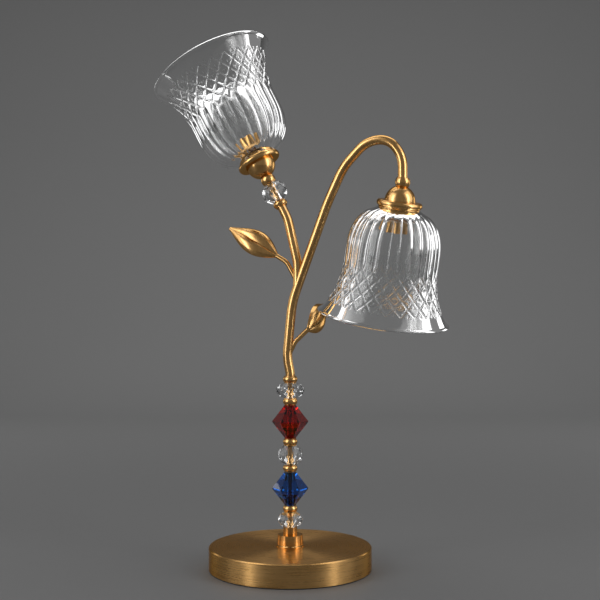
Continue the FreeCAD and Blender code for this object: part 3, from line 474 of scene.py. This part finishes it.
# %% The wall of a shade
ROUND_STEPS = 480
INSIDE_STRIDE = 3
INSIDE_START = 1.0
WEB_LEDGE = 3.5
LIP_OVERLAP, LIP_POINTS = 0.15, 13
CORNER_OUT, CORNER_IN, CORNER_DROP = 0.9, 1.4, 0.4


def wall_loop():
    """The loop of (out, along), which of its numbers are the outside, and where its inside starts."""
    ahead = np.gradient(outer_line, axis=0)
    ahead /= np.hypot(*ahead.T)[:, None]
    inner_line = outer_line + np.stack([-ahead[:, 1], ahead[:, 0]], 1) * WALL
    keep = inner_line[:, 1] > WEB + INSIDE_START
    inner_line = inner_line[keep][::-INSIDE_STRIDE]
    web_top = [(HOLE, TOP), (HOLE + WEB_LEDGE, TOP)]
    angles = np.linspace(-LIP_OVERLAP, math.pi + LIP_OVERLAP, LIP_POINTS)[1:-1]
    lip = [(RIM + LIP * math.cos(turn), FOOT + LIP * math.sin(turn)) for turn in angles]
    web_low = [(NECK - WALL * CORNER_OUT, WEB + CORNER_DROP), (NECK - WALL * CORNER_IN, WEB), (HOLE, WEB)]
    loop = web_top + [tuple(spot) for spot in outer_line[:-1]] + lip
    outside = range(len(web_top), len(web_top) + len(outer_line) - 1)
    inside_from = len(loop)
    loop += [tuple(spot) for spot in inner_line[1:]] + web_low
    return loop, outside, inside_from


wall, wall_outside, wall_inside_from = wall_loop()
print(f"{len(wall)} points round the wall, {len(wall_outside)} of them outside")

# %% [markdown]
# Each point of the wall becomes a ring, and each ring is joined to the next. The frost is the same cutting
# once more, strengthened so that most of a groove's width is fully dull.

# %% Build the two shades
FROST_GAIN = 1.6


def build_shade(side):
    """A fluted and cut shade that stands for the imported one."""
    turns = np.arange(ROUND_STEPS) * FLUTES / ROUND_STEPS
    ring_angle = turns * 2 * math.pi / FLUTES
    rings, frost = [], []
    for number, (out, along) in enumerate(wall):
        ground = np.zeros(ROUND_STEPS)
        level = np.full(ROUND_STEPS, along)
        if number in wall_outside:
            reach_out = out - relief(turns, level, out)
            ground = np.clip(np.maximum(*net_cuts(turns, level, out)) * FROST_GAIN, 0, 1)
        elif number >= wall_inside_from:
            reach_out = out + ribs(turns, along)
        else:
            reach_out = np.full(ROUND_STEPS, out)
        frost.append(ground)
        rings.append(np.stack([reach_out * np.cos(ring_angle), reach_out * np.sin(ring_angle), level], 1))
    start, way = holders[side]
    turn = np.array(UP.rotation_difference(way).to_matrix())
    corners = (np.concatenate(rings) * MM) @ turn.T + np.array(start)
    faces = []
    for row in range(len(wall)):
        here, following = row * ROUND_STEPS, ((row + 1) % len(wall)) * ROUND_STEPS
        for step in range(ROUND_STEPS):
            onward = (step + 1) % ROUND_STEPS
            faces.append((here + step, following + step, following + onward, here + onward))
    shade = add_piece(f"{side}_cut_shade", corners.tolist(), faces, shade_glass, smooth=True)
    cuts = shade.data.attributes.new("Frost", "FLOAT", "POINT")
    cuts.data.foreach_set("value", np.concatenate(frost))
    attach(shade, f"{side}_shade")
    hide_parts(f"{side}_shade")
    return shade


for side in ("left", "right"):
    shade = build_shade(side)
    print(shade.name, len(shade.data.vertices), "points")

# %% [markdown]
# The clear beads are cut with small three-sided facets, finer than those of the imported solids. Each one is
# built from rings of corners, given as shares of its widest radius and of its height. Every other ring is
# turned by half a step, so that the faces between two rings are triangles that lean both ways. They stay
# flat shaded, because a facet is a mirror. The bore is part of the same closed mesh, so that the rod inside
# is seen through real glass.

# %% The size of a packed bead
BEAD_FACETS = 12
BEAD_BORE = 3.2
BEAD_RINGS = [(0.50, 0.0), (0.79, 0.14), (0.96, 0.33), (1.0, 0.5), (0.96, 0.67), (0.79, 0.86), (0.50, 1.0)]
bead_axes = {"low_crystal": UP, "middle_crystal": UP, "top_crystal": UP,
             "left_arm_crystal": holders["left"][1]}


def bead_size(name, axis):
    """Where a packed bead starts on its axis, how long and how wide it is."""
    spots = np.array([corner.co for corner in nodes[name].data.vertices])
    along = spots @ np.array(axis)
    middle = spots.mean(0)
    on_axis = np.array(axis) * (along.min() - middle @ np.array(axis)) + middle
    off = spots - on_axis
    wide = np.linalg.norm(off - np.outer(off @ np.array(axis), axis), axis=1).max()
    return Vector(on_axis), along.max() - along.min(), wide


for name, axis in bead_axes.items():
    print(f"{name}: {bead_size(name, axis)[2] * 2 / MM:.1f} mm wide")

# %% [markdown]
# Between two rings that are half a step apart, the shared edge of each pair of triangles has to lean the way
# that the upper ring is turned. The bore's two rings close the loop, and the last ring meets the first with
# no turn between them.

# %% Cut the clear beads
def bead_faces(ring_count):
    """Triangles from each ring to the next, and from the last ring back to the first."""
    faces = []
    for number in range(ring_count):
        here, above = number * BEAD_FACETS, ((number + 1) % ring_count) * BEAD_FACETS
        level_join = number == ring_count - 1
        for facet in range(BEAD_FACETS):
            onward = (facet + 1) % BEAD_FACETS
            low, low_next, high, high_next = here + facet, here + onward, above + facet, above + onward
            if number % 2 or level_join:
                faces += [(low, low_next, high_next), (low, high_next, high)]
            else:
                faces += [(low, low_next, high), (high, low_next, high_next)]
    return faces


def cut_bead(name, axis):
    """A faceted bead in the place of a packed one."""
    start, tall, wide = bead_size(name, axis)
    turn = UP.rotation_difference(axis)
    step = 2 * math.pi / BEAD_FACETS
    bore = BEAD_BORE * MM / wide
    rings = BEAD_RINGS + [(bore, 1.0), (bore, 0.0)]
    corners = []
    for number, (out, up) in enumerate(rings):
        for facet in range(BEAD_FACETS):
            angle = (facet + 0.5 * (number % 2)) * step
            spot = Vector((out * wide * math.cos(angle), out * wide * math.sin(angle), up * tall))
            corners.append(tuple(start + turn @ spot))
    bead = add_piece(f"{name}_cut", corners, bead_faces(len(rings)), clear_crystal)
    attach(bead, "lamp")
    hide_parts(name)
    return bead


for name, axis in bead_axes.items():
    print(cut_bead(name, axis).name)

# %% [markdown]
# The studio is a grey sweep: a floor that curves up into a wall, so that no edge shows behind the glass. The
# floor lies nearer the lights than the wall does, so its paint is darker: both then render as one even grey.
# The change is spread over the depth of the sweep, counted in metres away from the viewer.

# %% The paint of the backdrop
VIEW_AZIMUTH = math.radians(22.0)
aim = Vector((-math.sin(VIEW_AZIMUTH), math.cos(VIEW_AZIMUTH), 0))
aside = Vector((math.cos(VIEW_AZIMUTH), math.sin(VIEW_AZIMUTH), 0))
FLOOR_GREY, WALL_GREY = (0.125, 0.125, 0.125), (0.26, 0.26, 0.26)
PAINT_FROM, PAINT_TO = 0.2, 1.9
PAPER_ROUGH = 0.65

sweep_paint, tree, shader, where = start_material("sweep_paper")
depth = place(tree, "ShaderNodeVectorMath", {"operation": "DOT_PRODUCT"})
fill(tree, depth.inputs[0], where)
fill(tree, depth.inputs[1], tuple(aim))
rise = place(tree, "ShaderNodeMapRange", {"interpolation_type": "SMOOTHSTEP"}, Value=depth.outputs["Value"],
             From_Min=PAINT_FROM, From_Max=PAINT_TO)
speck = use_group(tree, haze_group, Where=where, Size=40.0, Strength=0.04).outputs["Haze"]
tone = reckon(tree, "ADD", rise.outputs["Result"], speck)
tree.links.new(blend_colours(tree, tone, FLOOR_GREY, WALL_GREY), shader.inputs["Base Color"])
tree.links.new(reckon(tree, "ADD", speck, PAPER_ROUGH), shader.inputs["Roughness"])
print("paint:", sweep_paint.name)

# %% [markdown]
# The sweep itself is one strip of faces: its side view is a short line of points, and each point gives a
# corner on the left and one on the right.

# %% The floor and backdrop
SWEEP_BACK, SWEEP_FRONT, SWEEP_HALF, SWEEP_TALL, SWEEP_BEND = 2.2, -1.7, 2.4, 2.6, 0.8
BEND_STEPS = 12

bend_from = SWEEP_BACK - SWEEP_BEND
side_view = [(SWEEP_FRONT, 0.0), (bend_from, 0.0)]
for number in range(1, BEND_STEPS + 1):
    turn = number / BEND_STEPS * math.pi / 2
    side_view.append((bend_from + SWEEP_BEND * math.sin(turn), SWEEP_BEND * (1 - math.cos(turn))))
side_view.append((SWEEP_BACK, SWEEP_TALL))
corners = [tuple(aim * deep + aside * side_way * SWEEP_HALF + Vector((0, 0, height)))
           for deep, height in side_view for side_way in (-1, 1)]
faces = [(number, number + 1, number + 3, number + 2) for number in range(0, len(corners) - 2, 2)]
sweep = add_piece("studio_sweep", corners, faces, sweep_paint, smooth=True)
print(f"sweep of {len(faces)} faces laid")

# %% [markdown]
# Polished metal shows its lights, so their shape matters more than their number. Two narrow strips draw the
# long thin highlights down each tube and the bands on the base, and two large dim boxes behind them fill the
# glass without burning it out. Between them the middle stays dark. One overhead, a little behind, opens the
# base and the rims without showing in the upper facets of the beads. Two low panels stand behind the lamp,
# out of the picture: cut glass bends its view towards them, and each groove lights up. A light's azimuth is
# counted in degrees from the viewer's side, its distance, height, width and tallness are in metres, and its
# power is in watts.

# %% The lights
LAMP_MIDDLE = Vector((0.04, 0, 0.28))
FILL_GREY = 0.20
SOFT_BOXES = {
    "left_box": (-68, 1.5, 1.00, 1.5, 1.8, 11),
    "right_box": (72, 1.5, 1.00, 1.5, 1.8, 11),
    "left_strip": (-56, 1.25, 0.62, 0.24, 1.2, 3.6),
    "right_strip": (62, 1.25, 0.62, 0.24, 1.2, 3.6),
    "top_box": (180, 0.55, 1.85, 2.0, 1.2, 12),
    "left_edge_strip": (-128, 1.6, 0.42, 0.50, 0.62, 1.5),
    "right_edge_strip": (128, 1.6, 0.42, 0.50, 0.62, 1.5),
}


def soft_box(name, azimuth, distance, height, width, tall, watts):
    """A rectangular light on a circle round the lamp, facing the lamp's middle."""
    turn = math.radians(azimuth)
    spot = aside * math.sin(turn) * distance - aim * math.cos(turn) * distance + Vector((0, 0, height))
    light = bpy.data.lights.new(name, "AREA")
    light.shape = "RECTANGLE"
    light.size = width
    light.size_y = tall
    light.energy = watts
    lamp = bpy.data.objects.new(name, light)
    lamp.location = spot
    lamp.rotation_euler = (LAMP_MIDDLE - spot).to_track_quat("-Z", "Y").to_euler()
    lamp.visible_camera = False
    bpy.context.collection.objects.link(lamp)


for name, values in SOFT_BOXES.items():
    soft_box(name, *values)
world = bpy.data.worlds.new("studio")
world.use_nodes = True
world.node_tree.nodes["Background"].inputs["Color"].default_value = (FILL_GREY, FILL_GREY, FILL_GREY, 1)
bpy.context.scene.world = world
print(len(SOFT_BOXES), "soft boxes")

# %% [markdown]
# The camera stands level, at the height and turn from which the lamp was photographed. A long lens keeps
# the proportions of the tubes and the base true.

# %% The camera
SENSOR_WIDTH, LENS = 36.0, 66.84
CAMERA_PLACE = (0.4195, -1.0126, 0.2645)

camera_data = bpy.data.cameras.new("view")
camera_data.sensor_width = SENSOR_WIDTH
camera_data.lens = LENS
camera = bpy.data.objects.new("view", camera_data)
camera.location = CAMERA_PLACE
camera.rotation_euler = aim.to_track_quat("-Z", "Y").to_euler()
bpy.context.collection.objects.link(camera)
bpy.context.scene.camera = camera
bpy.context.scene.view_settings.view_transform = "Standard"
print("camera at", tuple(camera.location))
